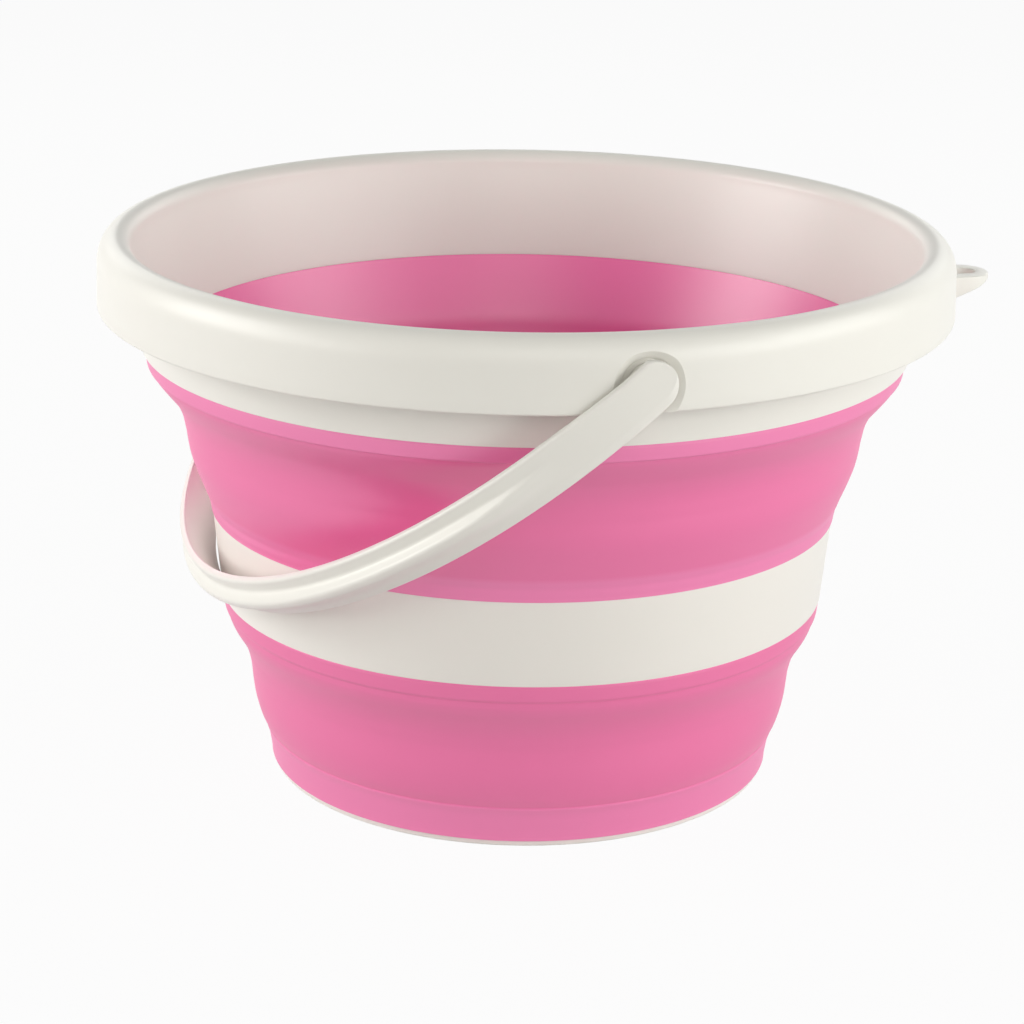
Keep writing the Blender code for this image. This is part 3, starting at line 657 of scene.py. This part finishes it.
def bailSection(ribShare, widthShare, upperShare):
    # closed T outline as (outward, sideways) for each station; ribShare raises the rib, the others narrow the ends
    s = bailShape
    half, thick = s["halfWidth"], s["strap"]
    (upperRoot, upperTip), (lowerRoot, lowerTip) = s["ribUpper"], s["ribLower"]
    top = thick + s["ribHeight"]
    slopeOut, slopeSide = s["lowerSlope"]
    corners = [(0, -s["lowerWidth"]), (0, half), (thick, half), (thick, upperRoot), (top, upperTip),
               (top, lowerTip), (thick + s["ribRootLift"], lowerRoot), (slopeOut, -slopeSide)]
    line = roundedLine([(*corner, fillet) for corner, fillet in zip(corners, s["fillets"])],
                       steps=s["bendSteps"], closed=True)
    rise = np.maximum(line[:, 0] - thick, 0)
    outward = np.minimum(line[:, 0], thick) + rise * ribShare[:, None]
    narrowed = np.minimum(widthShare, upperShare)
    sideways = line[:, 1] * np.where(line[:, 1] > 0, narrowed[:, None], widthShare[:, None])
    return outward, sideways


def smoothStep(share):
    # 3 t^2 - 2 t^3 for t kept from 0 to 1
    t = np.clip(share, 0, 1)
    return t * t * (3 - 2 * t)


def closeEnds(mesh):
    # fills the small openings at the two ends of a swept strap
    work = bmesh.new()
    work.from_mesh(mesh)
    bmesh.ops.holes_fill(work, edges=[e for e in work.edges if e.is_boundary], sides=0)
    bmesh.ops.recalc_face_normals(work, faces=work.faces)
    work.to_mesh(mesh)
    work.free()


def makeStrap():
    s = bailShape
    radius, offset, half = s["inner"], s["arcOffset"], s["halfWidth"]
    arcLength = math.pi * radius
    cap = half * np.sin(np.radians(np.linspace(90, 0, s["capRows"], endpoint=False)))
    body = np.linspace(0, arcLength + 2 * offset, s["rows"])
    d = np.concatenate([-cap, body, arcLength + 2 * offset + cap[::-1]])
    fromEnd = np.minimum(d, arcLength + 2 * offset - d)
    widthShare = np.sqrt(np.maximum(1 - np.minimum(fromEnd, 0) ** 2 / half ** 2,
                                    s["tipShareSquared"]))
    ribShare = smoothStep((fromEnd - s["ribStart"]) / (s["ribFull"] - s["ribStart"]))
    upperShare = s["endUpper"] + (1 - s["endUpper"]) * smoothStep(fromEnd / s["endRun"])
    outward, sideways = bailSection(ribShare, widthShare, upperShare)
    # the path runs straight past each pivot and then round the half circle, towards -X
    angle = np.clip((d - offset) / radius, 0, math.pi)
    straight = np.where(d < offset, d - offset, np.where(d > arcLength + offset, arcLength + offset - d, 0))
    along = -offset - straight
    x = along[:, None] - (radius + outward) * np.sin(angle)[:, None]
    y = -(radius + outward) * np.cos(angle)[:, None]
    points = np.stack([x, y, sideways], axis=-1).reshape(-1, 3)
    strap = makeMesh("strap", points, gridFaces(len(d), outward.shape[1], False, True), mouldSharpDeg)
    closeEnds(strap.data)
    return strap


def makePegs(side):
    # boss against the strap and a split peg with a catch, on one side
    s = pegShape
    bossEnd, bossEdge = s["bossEnd"], s["bossEdge"]
    boss = coneAlongY(f"boss{side}", [(s["boss"] - bossEdge, side * bossEnd),
                                      (s["boss"], side * (bossEnd + bossEdge)),
                                      (s["boss"], side * (bailShape["inner"] + s["bossSink"]))],
                      0.0, s["bossSteps"])
    catchRadius, catchEnd = s["catch"]
    tipRadius, tipEnd = s["tip"]
    peg = coneAlongY(f"peg{side}", [(tipRadius, side * tipEnd), (catchRadius, side * catchEnd),
                                    (s["peg"], side * catchEnd), (s["peg"], side * (bossEnd + s["bossSink"]))],
                     0.0, s["pegSteps"])
    near, far = sorted((side * (tipEnd - s["slitBefore"]), side * (bossEnd - s["slitShort"])))
    booleanCut(peg, boxPiece("slitCutter", (-s["slit"] / 2, near, -s["slitHalf"]),
                             (s["slit"] / 2, far, s["slitHalf"])))
    return [boss, peg]


def makeBail():
    bail = joinPieces("bailStrap", [makeStrap()] + makePegs(-1) + makePegs(1), mouldSharpDeg)
    # hang it: turn about the pivots' axis and lift to their height
    bail.data.transform(Matrix.Translation((0, 0, pivotShape["height"] * mm))
                        @ Matrix.Rotation(-math.radians(bailShape["tiltDeg"]), 4, "Y"))
    return bail


bailPiece = makeBail()
print("bail made")


# Dressing: which CAD node each piece stands for, its finish, and what it moves with

def dress(piece, material, nodes):
    piece.data.materials.clear()
    piece.data.materials.append(material)
    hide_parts(*nodes)


dress(rimPiece, whitePlastic, ["rim"])
dress(bailPiece, whitePlastic, ["bail_handle"])
dress(ringPiece, whitePlastic, ["mid_ring"])
dress(basePiece, whitePlastic, ["base"])
dress(upperPiece, pinkRubber, ["upper_bellows"])
dress(lowerPiece, pinkRubber, ["lower_bellows"])
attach(rimPiece, "rim")
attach(bailPiece, "bail")
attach(ringPiece, "mid_ring")
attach(basePiece, "base")
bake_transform(upperPiece)
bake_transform(lowerPiece)
print("pieces joined to their bodies")


# Floor, light and camera

stageShape = {
    "radius": 3000.0, "drop": 0.02, "segments": 96,
    "colour": (0.58, 0.58, 0.58, 1), "roughness": 0.9,
    "seenWhite": 0.95,                    # share of plain white that the camera sees
}
lampDistance, lampAim = 1.6, (0, 0, 0.11)
lamps = {  # azimuth from the camera's side (positive to the right), elevation, size, power, colour
    "left": (-84, 19, (0.9, 0.9), 14.8, (1.0, 0.99, 0.965)),
    "leftFront": (-58, 10, (0.9, 0.5), 4.2, (1.0, 0.98, 0.94)),
    "front": (4, 27, (0.9, 0.9), 4.8, (1.0, 0.98, 0.92)),
    "rightFront": (52, 12, (1.1, 0.8), 10.3, (1.0, 1.0, 0.965)),
    "right": (85, 21, (0.9, 0.9), 8.0, (1.0, 1.0, 0.97)),
    "backLeft": (-150, 28, (0.9, 0.9), 4.4, (1.0, 1.0, 0.96)),
    "backRight": (150, 28, (0.9, 0.9), 3.8, (1.0, 1.0, 0.96)),
}
worldLight = {"colour": (1.0, 0.985, 0.955, 1), "strength": 0.02}
viewTurnDeg = -14.9                       # the photo's view direction, from the Y axis
view = {  # place and angles fitted to the photo's rim, bands and foot
    "lens": 104.92, "sensor": 36.0, "clip": (0.05, 20.0),
    "place": (-0.28175, -1.05890, 0.45499), "anglesDeg": (71.9124, -0.8938, -14.4031),
}


def seenDirectly(maker):
    # 1 for camera, glossy and transmission rays, so that the pale surround is also what shiny parts show
    ray = maker.node("ShaderNodeLightPath", output=0)
    outputs = ray.link.node.outputs
    glossy = Socket(maker.tree, outputs["Is Glossy Ray"])
    passing = Socket(maker.tree, outputs["Is Transmission Ray"])
    return ray.maths("MAXIMUM", ray, ray.maths("MAXIMUM", glossy, passing))


def makeFloor():
    # (r cos a, r sin a) for every angle a, just below the part
    s = stageShape
    a = np.linspace(0, math.tau, s["segments"], endpoint=False)
    points = np.stack([np.cos(a), np.sin(a), 0 * a], axis=1) * s["radius"]
    points[:, 2] = -s["drop"]
    mesh = bpy.data.meshes.new("floor")
    mesh.from_pydata((points * mm).tolist(), [], [list(range(len(a)))])
    floor = bpy.data.objects.new("floor", mesh)
    bpy.context.scene.collection.objects.link(floor)
    material, shader, maker = newMaterial("paleFloor")
    shader.inputs["Base Color"].default_value = s["colour"]
    shader.inputs["Roughness"].default_value = s["roughness"]
    seen = seenDirectly(maker)
    glow = maker.node("ShaderNodeEmission", {}, {"Color": (1, 1, 1, 1), "Strength": 1.0})
    mix = maker.node("ShaderNodeMixShader", {}, {0: seen * s["seenWhite"],
                                                1: Socket(maker.tree, shader.outputs[0]), 2: glow})
    maker.tree.links.new(mix.link, maker.tree.nodes["Material Output"].inputs["Surface"])
    mesh.materials.append(material)


def makeLamps():
    for name, (azimuth, elevation, size, power, colour) in lamps.items():
        a = math.radians(azimuth + viewTurnDeg)
        e = math.radians(elevation)
        towards = Vector((math.sin(a) * math.cos(e), -math.cos(a) * math.cos(e), math.sin(e)))
        data = bpy.data.lights.new(name, "AREA")
        data.shape = "RECTANGLE"
        data.size, data.size_y = size
        data.energy = power
        data.color = colour
        lamp = bpy.data.objects.new(name, data)
        lamp.location = Vector(lampAim) + towards * lampDistance
        lamp.rotation_euler = towards.to_track_quat("Z", "Y").to_euler()
        bpy.context.scene.collection.objects.link(lamp)


def makeWorld():
    world = bpy.data.worlds.new("studio")
    world.use_nodes = True
    bpy.context.scene.world = world
    tree = world.node_tree
    maker = Socket(tree, None)
    light = tree.nodes["Background"]
    light.inputs[0].default_value = worldLight["colour"]
    light.inputs[1].default_value = worldLight["strength"]
    seen = seenDirectly(maker)
    white = maker.node("ShaderNodeBackground", {}, {"Color": (1, 1, 1, 1), "Strength": 1.0})
    mix = maker.node("ShaderNodeMixShader", {}, {0: seen, 1: Socket(tree, light.outputs[0]), 2: white})
    tree.links.new(mix.link, tree.nodes["World Output"].inputs["Surface"])


def makeCamera():
    data = bpy.data.cameras.new("camera")
    data.lens, data.sensor_width = view["lens"], view["sensor"]
    data.clip_start, data.clip_end = view["clip"]
    camera = bpy.data.objects.new("camera", data)
    camera.location = view["place"]
    camera.rotation_euler = [math.radians(v) for v in view["anglesDeg"]]
    bpy.context.scene.collection.objects.link(camera)
    bpy.context.scene.camera = camera


makeFloor()
makeLamps()
makeWorld()
makeCamera()
bpy.context.scene.view_settings.view_transform = "Standard"
print("stage, lamps and camera made")
